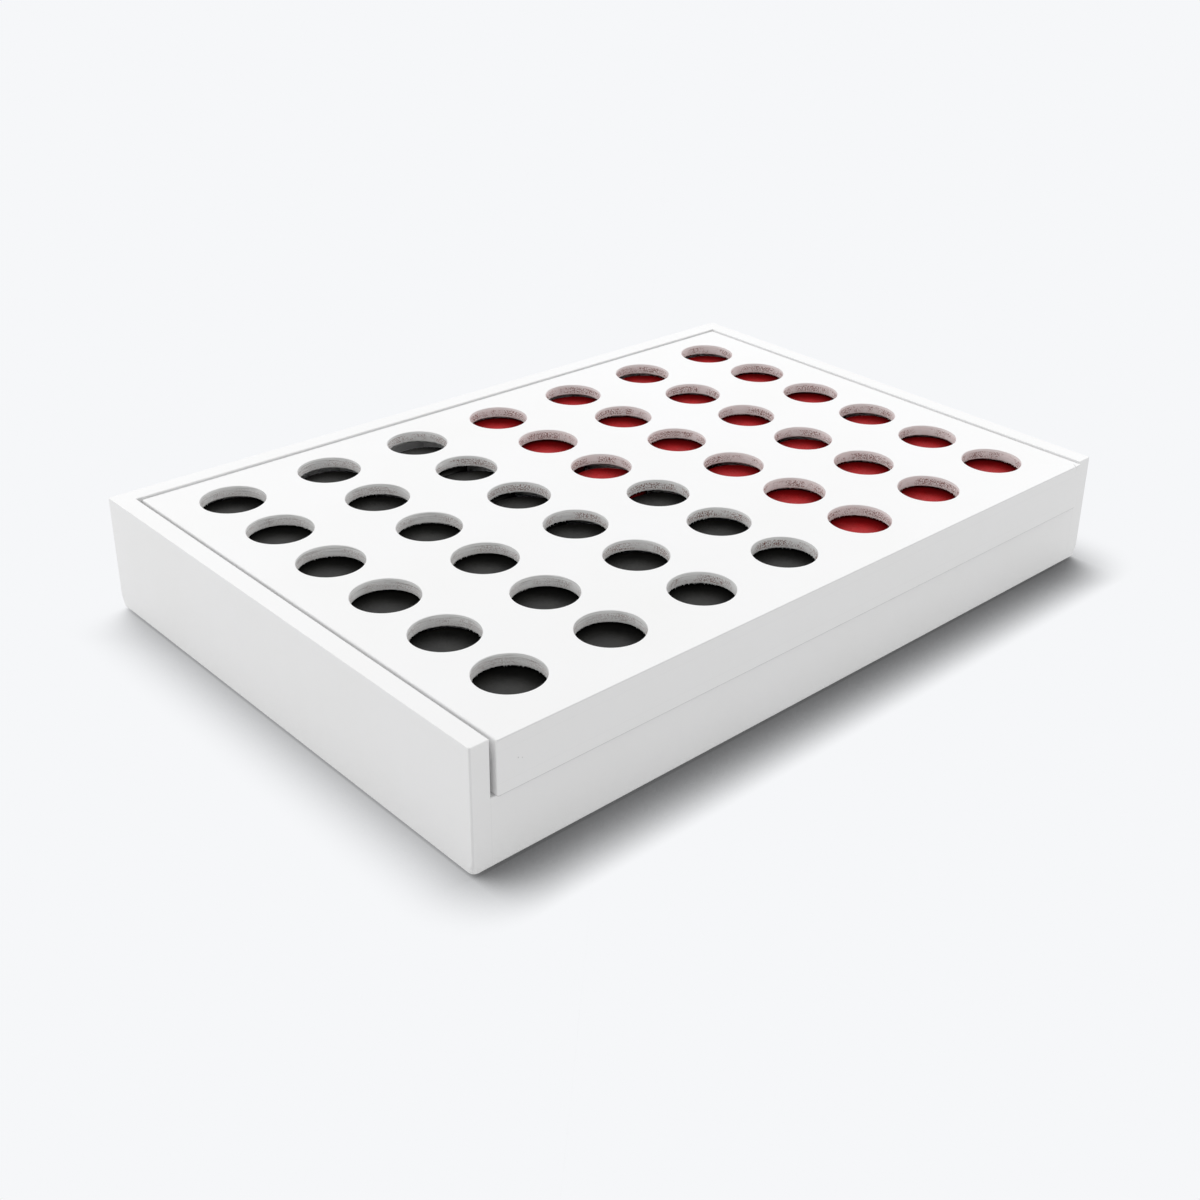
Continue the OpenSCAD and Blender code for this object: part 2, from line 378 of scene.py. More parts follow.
# %% Paint the boards
TRAY_BOARDS = ("floor_board", "back_ledge", "front_cleat", "rear_cleat")
GRID_BARS = ("bottom_bar", "left_end_bar", "right_end_bar", "column_dividers")
for board in TRAY_BOARDS:
    nodes[board].material_slots[0].material = tray_white
for bar in GRID_BARS:
    nodes[bar].material_slots[0].material = grid_white
print("painted:", len(TRAY_BOARDS), "tray boards and", len(GRID_BARS), "grid bars")

# %% [markdown]
# ## The tray's outer boards
#
# The walls and the rail were eased as one box once they were glued. A sander leaves the rim crisp
# and takes more off the foot. It takes most where the foot turns a corner, because it rides there on
# three edges at once, so that each corner ends in a small round tip. Each board is a stack of
# outlines. An outline keeps its place while the insets of its sides and the radius of its corners
# change with the height.

# %% Outlines of a board at all heights
FOOT_EASE = 0.8
RIM_EASE_TRAY = 0.3
SEAM_EASE = 0.3
UPRIGHT_EASE = 0.5
TIP_RADIUS = 2.2
TIP_HEIGHT = 5.0
SLOT_STEP = 0.02
ARC_STEPS = 8
FRONT, RIGHT, BACK, LEFT = (np.array(side) for side in ((0, -1), (1, 0), (0, 1), (-1, 0)))


def board_rows(low, high, rim_ease, extra=()):
    """Height, foot inset and rim inset of each outline, from the foot to the rim."""
    arc = np.radians(np.linspace(0, 90, ARC_STEPS + 1))
    middle = np.concatenate([np.linspace(low[2] + FOOT_EASE, low[2] + TIP_HEIGHT, ARC_STEPS)[1:], extra])
    height = np.concatenate([low[2] + FOOT_EASE * (1 - np.cos(arc)), middle,
                             high[2] - rim_ease * (1 - np.sin(arc))])
    foot = np.zeros(len(height))
    rim = np.zeros(len(height))
    foot[:len(arc)] = FOOT_EASE * (1 - np.sin(arc))
    rim[-len(arc):] = rim_ease * (1 - np.cos(arc))
    return height, foot, rim


def turn_corner(corner, first, second, first_inset, second_inset, radius):
    """Points of a corner at all heights: corner - first * (r - (r - inset) * cos t) - second *
    (r - (r - inset) * sin t), t from 0 to 90 degrees; where r is 0 the corner is sharp."""
    t = np.linspace(0, np.pi / 2, ARC_STEPS + 1)[:, None]
    along = np.where(radius > 0, radius - (radius - first_inset) * np.cos(t), first_inset)
    across = np.where(radius > 0, radius - (radius - second_inset) * np.sin(t), second_inset)
    return corner - along[..., None] * first - across[..., None] * second


def outer_radius(height, low):
    """Radius of an outer corner: TIP_RADIUS at the foot, falling softly to UPRIGHT_EASE."""
    up = np.clip((height - low[2]) / TIP_HEIGHT, 0, 1)
    return UPRIGHT_EASE + (TIP_RADIUS - UPRIGHT_EASE) * (1 - up * up * (3 - 2 * up))


def close_board(ring, height, hub):
    """Closes rings of points with a fan of faces round hub at both ends; also gives the flat faces."""
    level = np.broadcast_to(height[None, :, None], (*ring.shape[:2], 1))
    points = np.concatenate([ring, level], axis=-1)
    ends = [np.broadcast_to([*hub, height[k]], (len(ring), 1, 3)) for k in (0, -1)]
    points = np.concatenate([ends[0], points, ends[1]], axis=1)
    rows = points.shape[1]
    band = np.tile(np.arange(rows - 1), len(ring))
    step = np.linalg.norm(np.roll(ring, -1, axis=0) - ring, axis=-1)[:, len(height) // 2]
    is_long = np.repeat(step > TIP_RADIUS, rows - 1)
    return points.reshape(-1, 3), ring_net(len(ring), rows), is_long | (band == 0) | (band == rows - 2)


# %% The four outer boards
def side_wall():
    """The left wall: round outer corners, one slightly eased beside the slot, one sharp behind."""
    low, high = box_mm("left_wall")
    rail_top, joint = box_mm("front_rail")[1][2], box_mm("back_wall")[0][1]
    height, foot, rim = board_rows(low, high, RIM_EASE_TRAY, (rail_top, rail_top + SLOT_STEP))
    outer, sharp = outer_radius(height, low), 0 * height
    slot = np.where(height > rail_top, RIM_EASE_TRAY, 0.0)
    end = foot + rim
    inner_joint = np.array([high[0], joint]) - np.stack([rim, sharp])[..., None] * RIGHT
    ring = np.concatenate([
        turn_corner([high[0], low[1]], FRONT, RIGHT, end, rim, slot), inner_joint,
        turn_corner(high[:2], RIGHT, BACK, sharp, end, sharp),
        turn_corner([low[0], high[1]], BACK, LEFT, end, end, outer),
        turn_corner(low[:2], LEFT, FRONT, end, end, outer)])
    # The fan's hub lies behind the joint, from where it sees all of the stepped outline
    return close_board(ring, height, ((low[0] + high[0]) / 2, (joint + high[1]) / 2))


def middle_board(node, rim_ease, front, back):
    """A board between the side walls; front and back say if that side has a foot and a rim ease."""
    low, high = box_mm(node)
    height, foot, rim = board_rows(low, high, rim_ease)
    none = 0 * height
    front_inset, back_inset = (foot * side[0] + rim * side[1] for side in (front, back))
    ring = np.concatenate([
        turn_corner([high[0], low[1]], FRONT, RIGHT, front_inset, none, none),
        turn_corner(high[:2], RIGHT, BACK, none, back_inset, none),
        turn_corner([low[0], high[1]], BACK, LEFT, back_inset, none, none),
        turn_corner(low[:2], LEFT, FRONT, none, front_inset, none)])
    return close_board(ring, height, (low[:2] + high[:2]) / 2)


wall_points, wall_faces, wall_flat = side_wall()
boards = {
    "left_wall": (wall_points, wall_faces, wall_flat),
    "right_wall": (wall_points * [-1, 1, 1], wall_faces[:, ::-1], wall_flat),
    "back_wall": middle_board("back_wall", RIM_EASE_TRAY, (0, 1), (1, 1)),
    "front_rail": middle_board("front_rail", SEAM_EASE, (1, 1), (0, 0)),
}
for node, (points, faces, is_flat) in boards.items():
    piece = make_piece("eased_" + node, points, faces, (tray_white,), None, is_flat)
    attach(piece, "tray")
    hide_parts(node)
    print(piece.name, "has", len(piece.data.polygons), "faces")

# %% [markdown]
# ### The walls of the windows
#
# A window is milled through the plate with a router bit. The bit leaves fine rings round the wall,
# and the loose fibres of the board's core soak up the paint that the gun can barely reach. So the
# wall is a duller, rougher grey than the face, streaked all round, with brown specks of bare board in
# a patchy band at mid height. Its colour is also painted darker towards its foot, as painted shade
# deep in the window. The streaks are noise that is squeezed in height and drawn out along the wall.
# The specks are fine noise, cut off high, and let through only in that band. The bit got blunt on
# its way: the first columns on the left show clean rings, the others more specks.

# %% Window wall finish
WALL_GREY = "#fbfbfa"
WALL_STREAK = "#cfcfce"
WALL_FOOT_SHADE = "#ededeb"
FOOT_SHADE_HEIGHT = 2.4
BARE_BOARD = "#845349"
STREAK_HEIGHT = 0.3
STREAK_LENGTH = 9.0
STREAK_RANGE = (0.42, 0.72)
STREAK_LOSS = 0.7
SPECK_WIDTH = 0.4
SPECK_RANGE = (0.46, 0.6)
FEWEST_SPECKS = 0.35
PATCH_WIDTH = 7.0
PATCH_RANGE = (0.34, 0.56)
SPECK_BAND = (0.8, 2.6)
BAND_BLUR = 0.6
WORN_BIT = (-95.0, 5.0)
WALL_ROUGHNESS = 0.7
WALL_RELIEF = 0.03
WALL_FIBRE_WIDTH = 0.3


def window_wall():
    """Thin lacquer over a milled edge of fibreboard, with painted shade towards the wall's foot."""
    finish, tree, shader, place = new_finish("thin_lacquer_over_milled_board", WALL_ROUGHNESS)
    squeeze = STREAK_HEIGHT / STREAK_LENGTH
    streaks = speckle(tree, place, STREAK_HEIGHT, detail=2.0, stretch=(squeeze, squeeze, 1.0))
    x, _, height = add_node(tree, "ShaderNodeSeparateXYZ", {0: place}).outputs
    wear = step_between(tree, x, WORN_BIT[0] * MM, WORN_BIT[1] * MM)
    streak_share = calculate(tree, "SUBTRACT", 1.0, product(tree, wear, STREAK_LOSS))
    streak_mask = product(tree, step_between(tree, streaks, *STREAK_RANGE), streak_share)
    paint = blend_colours(tree, streak_mask, colour(WALL_GREY), colour(WALL_STREAK))
    foot = box_mm("front_plate")[0][2]
    # Painted shade: the wall's colour darkens towards its foot, deep in the window.
    deep_shade = step_between(tree, height, (foot + FOOT_SHADE_HEIGHT) * MM, foot * MM)
    paint = blend_colours(tree, deep_shade, paint, colour(WALL_FOOT_SHADE))
    start, end = foot + SPECK_BAND[0], foot + SPECK_BAND[1]
    band = product(tree, step_between(tree, height, (start - BAND_BLUR) * MM, start * MM),
                   step_between(tree, height, (end + BAND_BLUR) * MM, end * MM))
    patches = step_between(tree, speckle(tree, place, PATCH_WIDTH, detail=2.0), *PATCH_RANGE)
    specks = step_between(tree, speckle(tree, place, SPECK_WIDTH, detail=3.0), *SPECK_RANGE)
    speck_share = calculate(tree, "ADD", product(tree, wear, 1 - FEWEST_SPECKS), FEWEST_SPECKS)
    mask = product(tree, band, patches, specks, speck_share)
    paint = blend_colours(tree, mask, paint, colour(BARE_BOARD))
    tree.links.new(paint, shader.inputs["Base Color"])
    fibres = speckle(tree, place, WALL_FIBRE_WIDTH, detail=2.0)
    raise_surface(tree, shader, (streaks, WALL_RELIEF), (fibres, WALL_RELIEF))
    return finish


wall_finish = window_wall()
print("router rings:", STREAK_HEIGHT, "mm apart")

# %% [markdown]
# ## Window plates
#
# The front plate is the face of the object. Each window is one patch of a net: its rows start on
# the rectangle that the window shares with its neighbours, run in to the window's rim, round its
# eased edge, down the wall, out under the plate and back to the rectangle. So one formula makes 42
# windows at once, and the merge closes them to one plate. A Boolean cut would be shorter to write,
# but it gives no control over the rim: here the bit's rings and the torn fibres that hang from the
# lower edge are part of the shape. A last net carries the plate's edge profile round its outline.

# %% Places of the windows
COLUMNS, ROWS = 7, 6
COLUMN_PITCH = 38.0
ROW_PITCH = 30.0
FIRST_ROW = 24.0
WINDOW_R = 11.0
plate_low, plate_high = box_mm("front_plate")
column_x = (plate_low[0] + plate_high[0]) / 2 + (np.arange(COLUMNS) - (COLUMNS - 1) / 2) * COLUMN_PITCH
row_y = plate_low[1] + FIRST_ROW + np.arange(ROWS) * ROW_PITCH
centres = np.stack(np.meshgrid(column_x, row_y, indexing="ij"), axis=-1)
print("windows:", centres.shape[0] * centres.shape[1], "of", 2 * WINDOW_R, "mm")


# %% Noise round a ring
def ring_noise(rng, shape, points, slowest, fastest):
    """Closed random waves: each row of shape adds waves from slowest to fastest turns per ring."""
    turns = np.arange(slowest, fastest + 1)
    angle = np.arange(points) / points * 2 * np.pi
    waves = np.exp(1j * (turns[:, None] * angle[None, :]))
    weights = rng.normal(size=(*shape, len(turns))) + 1j * rng.normal(size=(*shape, len(turns)))
    return (weights @ waves).real / np.sqrt(len(turns))


# %% One net for all windows of a plate
PLATE_INSET = 0.6
RIM_EASE = 0.2
RIM_STEPS = 3
TOOL_RELIEF = 0.02
TOOL_TURNS = (0, 5)
LIP_HEIGHT = 0.3
FIBRE_LENGTH = 0.3
FIBRE_CUTOFF = 0.1
FIBRE_LIMITS = (2.0, 1.5)
FIBRE_PATCHES = (0.6, 0.5)
PATCH_LIMITS = (0.1, 1.2)
PATCH_TURNS = (0, 3)
FIBRE_LEAN = 0.4
FIBRE_FOOT = (0.35, 0.3)
UNDERSIDE_START = 1.0


def cell_borders(low, high, per_side):
    """Points round each window's rectangle: each side is cut in per_side equal parts."""
    xs = np.concatenate([[low[0] + PLATE_INSET], (column_x[1:] + column_x[:-1]) / 2,
                         [high[0] - PLATE_INSET]])
    ys = np.concatenate([[low[1] + PLATE_INSET], (row_y[1:] + row_y[:-1]) / 2,
                         [high[1] - PLATE_INSET]])
    share = np.arange(per_side) / per_side
    flow = [np.concatenate(part) for part in
            ((share, 1 + 0 * share, 1 - share, 0 * share), (0 * share, share, 1 + 0 * share, 1 - share))]
    x = xs[:-1, None] + (xs[1:] - xs[:-1])[:, None] * flow[0]
    y = ys[:-1, None] + (ys[1:] - ys[:-1])[:, None] * flow[1]
    x = np.broadcast_to(x[:, None, :], (COLUMNS, ROWS, 4 * per_side))
    y = np.broadcast_to(y[None, :, :], (COLUMNS, ROWS, 4 * per_side))
    return np.stack([x, y], axis=-1)


def window_net(low, high, per_side, wall_rows, rough, seed):
    """Point(window, i, row): ring point i at 360 degrees * (i / n - 3 / 8), from the rectangle to the
    rim (radius + ease - ease * sin t, top - ease + ease * cos t), down the wall and back below."""
    rng = np.random.default_rng(seed)
    count = 4 * per_side
    border = cell_borders(low, high, per_side)
    # The border starts at the rectangle's front left corner, which is 3/8 of a turn before 0
    angle = (np.arange(count) / count - 3 / 8) * 2 * np.pi
    ring = np.stack([np.cos(angle), np.sin(angle)], axis=-1)
    middle = centres[:, :, None, :]
    shape = (COLUMNS, ROWS)
    flat = np.ones((*shape, count))

    def at_radius(radius, z):
        return np.concatenate([middle + ring * (radius * flat)[..., None], (z * flat)[..., None]], axis=-1)

    def at_border(z):
        return np.concatenate([border, (z * flat)[..., None]], axis=-1)

    rows = [at_border(high[2])]
    for t in np.linspace(0, np.pi / 2, RIM_STEPS + 1):
        rows.append(at_radius(WINDOW_R + RIM_EASE * (1 - np.sin(t)),
                              high[2] - RIM_EASE * (1 - np.cos(t))))
    for z in np.linspace(high[2] - RIM_EASE, low[2] + LIP_HEIGHT, wall_rows + 1)[1:]:
        rings_of_bit = ring_noise(rng, shape, count, *TOOL_TURNS) * TOOL_RELIEF * rough
        rows.append(at_radius(WINDOW_R + rings_of_bit, z))
    # Fibres are fine waves, cut off low, and slow waves make them patchy
    fine = ring_noise(rng, shape, count, per_side * 3 // 4, 2 * per_side)
    slow = ring_noise(rng, shape, count, *PATCH_TURNS)
    torn = np.clip(fine - FIBRE_CUTOFF, 0, FIBRE_LIMITS[0])
    patchy = np.clip(FIBRE_PATCHES[0] + FIBRE_PATCHES[1] * slow, *PATCH_LIMITS)
    fibres = np.clip(torn * patchy * rough, 0, FIBRE_LIMITS[1]) * FIBRE_LENGTH
    rows.append(at_radius(WINDOW_R - FIBRE_LEAN * fibres, low[2] - fibres))
    rows.append(at_radius(WINDOW_R + FIBRE_FOOT[0], low[2] - FIBRE_FOOT[1] * fibres))
    rows.append(at_radius(WINDOW_R + UNDERSIDE_START, low[2]))
    rows.append(at_border(low[2]))
    points = np.stack(rows, axis=3)
    faces = np.concatenate([ring_net(count, len(rows), k * count * len(rows))
                            for k in range(COLUMNS * ROWS)])
    band = np.tile(np.arange(len(rows) - 1), COLUMNS * ROWS * count)
    is_flat = (band == 0) | (band == len(rows) - 2)
    is_wall = (band > RIM_STEPS - 1) & (band < len(rows) - 3)
    return points.reshape(-1, 3), faces, is_wall.astype(int), is_flat


# %% The plate's outer edge
CORNER_STEPS = 10


def outline_net(low, high, per_side, profile, side_profile):
    """Carries a profile of (outward, height) pairs round the plate: point = base + outward * normal.
    At a corner the base stands still while the normal turns by a quarter. The profile changes from
    that of the front to that of the sides by min(1, 1 + sin of the normal's angle)."""
    border = cell_borders(low, high, per_side)
    sides = (border[:, 0, :per_side], border[-1, :, per_side:2 * per_side],
             border[::-1, -1, 2 * per_side:3 * per_side], border[0, ::-1, 3 * per_side:])
    corners = (border[-1, 0, per_side], border[-1, -1, 2 * per_side],
               border[0, -1, 3 * per_side], border[0, 0, 0])
    base, heading = [], []
    for k, (side, corner) in enumerate(zip(sides, corners)):
        side = side.reshape(-1, 2)
        base += [side, np.repeat(corner[None], CORNER_STEPS, axis=0)]
        start = (k - 1) * np.pi / 2
        heading += [np.full(len(side), start), start + np.arange(CORNER_STEPS) / CORNER_STEPS * np.pi / 2]
    base, heading = np.concatenate(base), np.concatenate(heading)
    turned_away = np.clip(1 + np.sin(heading), 0, 1)[:, None, None]
    shape = np.array(profile) + turned_away * (np.array(side_profile) - np.array(profile))
    normal = np.stack([np.cos(heading), np.sin(heading)], axis=-1)
    xy = base[:, None, :] + normal[:, None, :] * shape[..., :1]
    points = np.concatenate([xy, shape[..., 1:]], axis=-1)
    outward, height = np.array(profile).T
    # The net's rings run outward first, so the rows are turned round to face out
    faces = ring_net(len(base), len(profile))[:, ::-1]
    is_straight = (np.abs(np.diff(outward)) < MERGE_DISTANCE) | (np.abs(np.diff(height)) < MERGE_DISTANCE)
    return points.reshape(-1, 3), faces, np.tile(is_straight, len(base))


def quarter(centre_out, centre_up, radius, start, end, steps=4):
    """Points of an arc from start to end degrees, 0 pointing outward and 90 up."""
    turn = np.radians(np.linspace(start, end, steps + 1))
    return list(zip(centre_out + radius * np.cos(turn), centre_up + radius * np.sin(turn)))


# %% [markdown]
# The front plate's top edge is eased, much more along the sides that slide past the tray's walls
# than at the front, and its lower edge, which meets the bars, is sharp. Near the front right corner
# the top edge has been knocked: a small notch shows there. The notch presses the points near it down
# and in, most at its middle.

# %% Build the two plates
FRONT_EASE = 0.12
SIDE_EASE = 0.55
SEAT_EASE = 0.3
NOTCH_REACH = 0.8
NOTCH_DEPTH = 0.45
NOTCH_PUSH = (0, 0.6, -0.8)


def plate_points(node, per_side, wall_rows, rough, seed, profile):
    """A whole plate: its windows' net and its outline's net."""
    low, high = box_mm(node)
    points, faces, is_wall, is_flat = window_net(low, high, per_side, wall_rows, rough, seed)
    profiles = [profile(low[2], high[2], ease) for ease in (FRONT_EASE, SIDE_EASE)]
    edge_points, edge_faces, edge_flat = outline_net(low, high, per_side, *profiles)
    faces = np.concatenate([faces, edge_faces + len(points)])
    finish_of_face = np.concatenate([is_wall, np.zeros(len(edge_faces), int)])
    is_flat = np.concatenate([is_flat, edge_flat])
    return np.concatenate([points, edge_points]), faces, finish_of_face, is_flat


def front_edge(bottom, top, ease):
    """Top edge eased by a quarter circle, lower edge sharp, because it is glued flush to the bars."""
    arc = quarter(PLATE_INSET - ease, top - ease, ease, 90, 0)
    return [(0, top)] + arc + [(PLATE_INSET, bottom), (0, bottom)]


def back_edge(bottom, top, ease):
    """Upper edge sharp under the bars, lower edge eased where it sits on the rail."""
    arc = quarter(PLATE_INSET - SEAT_EASE, bottom + SEAT_EASE, SEAT_EASE, 0, -90)
    return [(0, top), (PLATE_INSET, top)] + arc + [(0, bottom)]


def knock_edge(points, top):
    """Pushes points near the crack's start down and in, by depth * (1 - (distance / reach)^2)."""
    away = np.linalg.norm(points - np.array([*CRACK_START, top]), axis=1) / NOTCH_REACH
    push = NOTCH_DEPTH * np.clip(1 - away ** 2, 0, 1)
    return points + push[:, None] * np.array(NOTCH_PUSH)


def plate(node, seed, per_side, wall_rows, rough, profile, knocked):
    """Builds a plate in place of its construction node."""
    points, faces, finish_of_face, is_flat = plate_points(node, per_side, wall_rows, rough, seed, profile)
    if knocked:
        points = knock_edge(points, box_mm(node)[1][2])
    piece = make_piece("windowed_" + node, points, faces, (grid_white, wall_finish),
                       finish_of_face, is_flat)
    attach(piece, "grid")
    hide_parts(node)
    print(piece.name, "has", sum(len(p.vertices) - 2 for p in piece.data.polygons), "triangles")


plate("front_plate", seed=4, per_side=50, wall_rows=3, rough=1.0, profile=front_edge, knocked=True)
plate("back_plate", seed=5, per_side=18, wall_rows=3, rough=0.8, profile=back_edge, knocked=False)

# %% [markdown]
# ## Discs
#
# A disc is cut from board, its rims eased with a sander, and sprayed satin black or red. It is a
# profile turned round its own axis. The lacquer is the same satin as the white one, but a dark coat
# shows the gloss that a white one hides: a soft sheen towards the light. Under the far wall of its
# window a real disc lies in deeper shade than plain lamps make. An ambient occlusion node whose rays
# lean back, right and up, to the lamps, dims paint and sheen there.

# %% Disc finishes
BLACK_LACQUER = "#242423"
BLACK_BLOOM = "#2b2b29"
RED_LACQUER = "#bd161b"
RED_BLOOM = "#ae1a1c"
DISC_ROUGHNESS = 0.5
DISC_SHEEN = 0.36
SHEEN_FALL = 3.0
SHADE_LEAN = (0.61, 0.61, 0.5)
SHADE_REACH = 20.0
SHADE_SAMPLES = 8
SHADE_RANGE = (0.16, 0.58)
DEEPEST_SHADE = 0.28
BLOOM_WIDTH = 6.0
BLOOM_RANGE = (0.35, 0.65)
GRAIN_WIDTH = 0.5
GRAIN_RELIEF = 0.01


def disc_lacquer(name, base, bloom):
    """Satin coloured lacquer with a slight bloom, the fine grain of sprayed board and painted shade."""
    finish, tree, shader, place = new_finish(name, DISC_ROUGHNESS)
    clouds = step_between(tree, speckle(tree, place, BLOOM_WIDTH, detail=4.0), *BLOOM_RANGE)
    paint = blend_colours(tree, clouds, colour(base), colour(bloom))
    # Painted shade: where the leaning occlusion rays are blocked, under the window's far wall, the paint
    # is darkened towards black and the sheen is dimmed.
    sky_share = open_sky(tree, SHADE_LEAN, SHADE_REACH, SHADE_SAMPLES)
    shade = step_between(tree, sky_share, *SHADE_RANGE)
    light = calculate(tree, "MAXIMUM", shade, DEEPEST_SHADE)
    paint = blend_colours(tree, light, colour("#000000"), paint)
    sheen = product(tree, calculate(tree, "POWER", light, SHEEN_FALL), DISC_SHEEN)
    tree.links.new(sheen, shader.inputs["Specular IOR Level"])
    tree.links.new(paint, shader.inputs["Base Color"])
    grain = speckle(tree, place, GRAIN_WIDTH, detail=2.0)
    peel = speckle(tree, place, PEEL_WIDTH, detail=1.0)
    raise_surface(tree, shader, (peel, PEEL_RELIEF), (grain, GRAIN_RELIEF))
    return finish


disc_finishes = {"black": disc_lacquer("satin_black_lacquer", BLACK_LACQUER, BLACK_BLOOM),
                 "red": disc_lacquer("satin_red_lacquer", RED_LACQUER, RED_BLOOM)}

# %% Turn the 42 discs
DISC_EASE = 0.8
DISC_SIDES = 72


def turned(profile, sides, centre):
    """A profile of (radius, height) pairs turned round a vertical axis through centre."""
    turn = np.arange(sides) / sides * 2 * np.pi
    radius, height = np.array(profile).T
    x = centre[0] + np.outer(np.cos(turn), radius)
    y = centre[1] + np.outer(np.sin(turn), radius)
    z = np.broadcast_to(centre[2] + height, x.shape)
    return np.stack([x, y, z], axis=-1).reshape(-1, 3), ring_net(sides, len(profile))


def disc_profile(radius, thickness):
    """From the middle of the top, over the two eased rims, to the middle of the bottom."""
    half = thickness / 2
    upper = quarter(radius - DISC_EASE, half - DISC_EASE, DISC_EASE, 90, 0)
    lower = quarter(radius - DISC_EASE, DISC_EASE - half, DISC_EASE, 0, -90)
    return [(0, half)] + upper + lower + [(0, -half)]


disc_nodes = sorted(node for node in nodes if "_disc_c" in node)
for node in disc_nodes:
    low, high = box_mm(node)
    profile = disc_profile((high[0] - low[0]) / 2, high[2] - low[2])
    points, faces = turned(profile, DISC_SIDES, (low + high) / 2)
    band = np.tile(np.arange(len(profile) - 1), DISC_SIDES)
    tint, body = node.split("_", 1)
    piece = make_piece("lacquered_" + node, points, faces[:, ::-1], (disc_finishes[tint],), None,
                       (band == 0) | (band == len(profile) - 2))
    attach(piece, body)
    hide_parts(node)
print("discs:", len(disc_nodes), "of", round(high[0] - low[0], 1), "mm")

# %% [markdown]
# ## Felt pads
#
# Four pads keep the tray from scratching the table. Pressed wool felt has no weave, only short
# fibres in all directions, so the pad's edge is ragged and its face a mottled grey. Each pad is a
# turned profile too, pushed in at its edge by noise.

# %% Felt finish and pads
FELT_GREY = "#6b6b6d"
FELT_DARK = "#4c4c4f"
FELT_FIBRE = 0.5
FELT_RELIEF = 0.15
FELT_ROUGHNESS = 0.95
FELT_SHEEN = 0.3
PAD_D = 14.0
PAD_SIDES = 120
PAD_EASE = 0.3
PAD_EASE_HEIGHT = 0.12
PAD_BULGE = 0.05
PAD_FUZZ = 0.12
FUZZ_TURNS = (6, 50)
DEEPEST_FUZZ = 0.9


def pressed_felt():
    """Pressed wool felt: dull, mottled and full of short fibres."""
    finish, tree, shader, place = new_finish("pressed_wool_felt", FELT_ROUGHNESS)
    shader.inputs["Sheen Weight"].default_value = FELT_SHEEN
    fibres = speckle(tree, place, FELT_FIBRE, detail=4.0)
    paint = blend_colours(tree, fibres, colour(FELT_GREY), colour(FELT_DARK))
    tree.links.new(paint, shader.inputs["Base Color"])
    raise_surface(tree, shader, (fibres, FELT_RELIEF))
    return finish


def pads(node):
    """All pads of the tray as one piece, in the places of the construction node's pads."""
    low, high = box_mm(node)
    thickness = high[2] - low[2]
    radius = PAD_D / 2
    rng = np.random.default_rng(7)
    inner, outer = radius - PAD_EASE, radius - PAD_BULGE
    profile = [(0, 0), (inner, 0), (outer, -PAD_EASE_HEIGHT), (radius, -thickness / 2),
               (outer, PAD_EASE_HEIGHT - thickness), (inner, -thickness), (0, -thickness)]
    points, faces = [], []
    for x in (low[0] + radius, high[0] - radius):
        for y in (low[1] + radius, high[1] - radius):
            pad, net = turned(profile, PAD_SIDES, (x, y, high[2]))
            pad = pad.reshape(PAD_SIDES, len(profile), 3)
            waves = np.abs(ring_noise(rng, (len(profile),), PAD_SIDES, *FUZZ_TURNS)).T
            fuzz = np.clip(1 - PAD_FUZZ / radius * waves, DEEPEST_FUZZ, 1)
            pad[..., :2] = [x, y] + (pad[..., :2] - [x, y]) * fuzz[..., None]
            faces.append(net[:, ::-1] + sum(len(p) for p in points))
            points.append(pad.reshape(-1, 3))
    piece = make_piece("felt_pads_fuzzy", np.concatenate(points), np.concatenate(faces), (pressed_felt(),))
    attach(piece, "tray")
    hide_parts(node)


pads("felt_pads")
print("felt pads:", PAD_D, "mm wide")

# %% [markdown]
# ## Floor, light and background
#
# The object stands on a pale seamless floor. The floor's colour, seen directly or mirrored in the
# lacquer, is the photograph's pale grey; for the light that it throws back at the object it is plain
# white paint. The cast shadow is soft and short, as under a wide lamp above and behind the object.
# It is drawn with an ambient occlusion node whose rays lean towards that lamp: where the tray stands
# in their way within a few centimetres, the floor darkens. Four soft boxes and an even sky light the
# object: one overhead for the top, one behind and one low at the left behind for those sides, and
# the strongest at the right, which also reaches into the windows.

# %% Floor
BACKGROUND = "#f6f7f9"
FLOOR_PAINT = "#ebebeb"
PAPER_ROUGHNESS = 0.9
FLOOR_SIZE = 12.0
SHADOW_LEAN = (0.074, 0.93, 0.36)
SHADOW_REACH = 23.3
SHADOW_SAMPLES = 32
SHADOW_CURVE = 1.465
SHADOW_GAIN = 1.196
SHADOW_POWER = 2.106


def seen_directly(tree):
    """1 for rays from the camera, and for mirrored and transmitted ones, 0 for scattered light."""
    path = add_node(tree, "ShaderNodeLightPath").outputs
    mirrored = calculate(tree, "MAXIMUM", path["Is Glossy Ray"], path["Is Transmission Ray"])
    return calculate(tree, "MAXIMUM", path["Is Camera Ray"], mirrored)


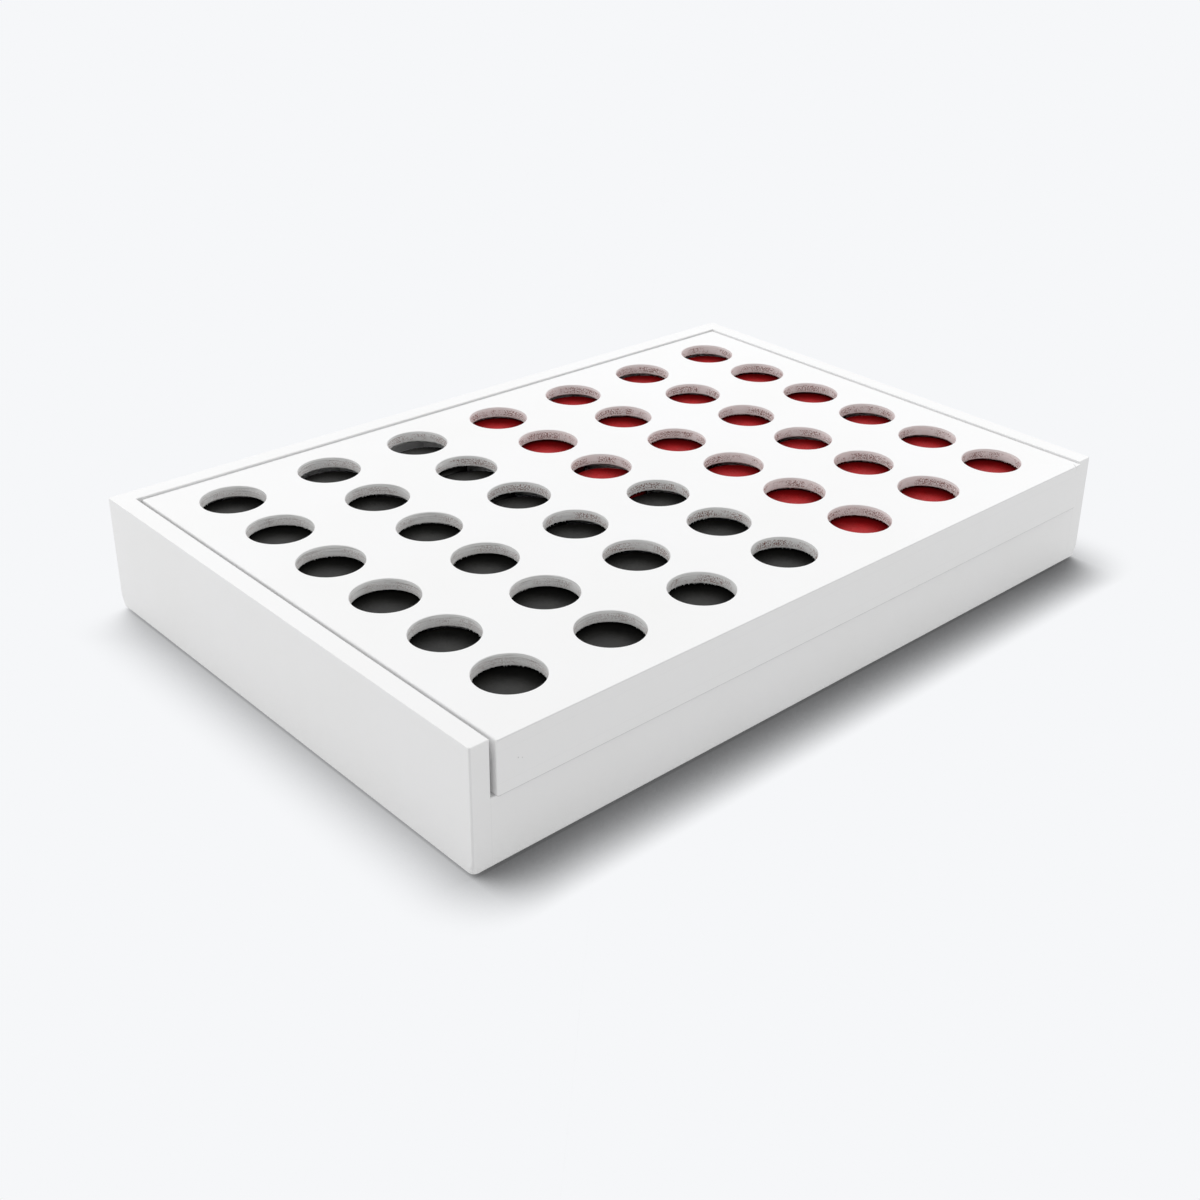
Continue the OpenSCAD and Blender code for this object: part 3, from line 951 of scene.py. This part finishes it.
def floor_finish():
    """Seamless paper: background colour with the object's soft shadow, plain white for its bounce."""
    finish, tree, shader, _ = new_finish("seamless_paper", PAPER_ROUGHNESS)
    shader.inputs["Base Color"].default_value = colour(FLOOR_PAINT)
    sky_share = open_sky(tree, SHADOW_LEAN, SHADOW_REACH, SHADOW_SAMPLES)
    covered = calculate(tree, "SUBTRACT", 1.0, sky_share)
    hidden = calculate(tree, "POWER", covered, SHADOW_CURVE)
    hidden = calculate(tree, "MULTIPLY", hidden, SHADOW_GAIN, clamp=True)
    lit = calculate(tree, "POWER", calculate(tree, "SUBTRACT", 1.0, hidden), SHADOW_POWER)
    glow = add_node(tree, "ShaderNodeEmission", {0: colour(BACKGROUND), 1: lit}).outputs[0]
    both = add_node(tree, "ShaderNodeMixShader", {0: seen_directly(tree), 1: shader.outputs[0], 2: glow})
    tree.links.new(both.outputs[0], tree.nodes["Material Output"].inputs["Surface"])
    return finish


half = FLOOR_SIZE / 2
floor_mesh = bpy.data.meshes.new("floor")
corners = [(-half, -half, 0), (half, -half, 0), (half, half, 0), (-half, half, 0)]
floor_mesh.from_pydata(corners, [], [(0, 1, 2, 3)])
floor_mesh.materials.append(floor_finish())
floor = bpy.data.objects.new("floor", floor_mesh)
bpy.context.scene.collection.objects.link(floor)

# %% World and lamps
SKY_STRENGTH = 0.695
SOFT_BOX_SIDE = 600.0
LAMPS = (
    ("soft_box_overhead", (0, 0, 1300), 0.85),
    ("soft_box_behind", (0, 919, 919), 2.5),
    ("soft_box_at_the_right", (919, 0, 919), 4.6),
    ("low_soft_box_behind_left", (-852, 852, 487), 2.4),
)

world = bpy.data.worlds.new("studio")
world.use_nodes = True
bpy.context.scene.world = world
sky = world.node_tree
backdrop = add_node(sky, "ShaderNodeBackground", {0: colour(BACKGROUND), 1: 1.0})
ambient = add_node(sky, "ShaderNodeBackground", {0: colour("#ffffff"), 1: SKY_STRENGTH})
chosen = add_node(sky, "ShaderNodeMixShader",
                  {0: seen_directly(sky), 1: ambient.outputs[0], 2: backdrop.outputs[0]})
sky.links.new(chosen.outputs[0], sky.nodes["World Output"].inputs["Surface"])


def soft_lamp(name, place, watts):
    """A square soft box at a place in mm, which looks at the object's middle."""
    lamp = bpy.data.lights.new(name, "AREA")
    lamp.shape = "RECTANGLE"
    lamp.size = SOFT_BOX_SIDE * MM
    lamp.size_y = SOFT_BOX_SIDE * MM
    lamp.energy = watts
    holder = bpy.data.objects.new(name, lamp)
    holder.location = [v * MM for v in place]
    holder.rotation_euler = Vector(holder.location).to_track_quat("Z", "Y").to_euler()
    bpy.context.scene.collection.objects.link(holder)


for lamp_row in LAMPS:
    soft_lamp(*lamp_row)
bpy.context.scene.view_settings.view_transform = "Standard"
print("lamps:", len(LAMPS))
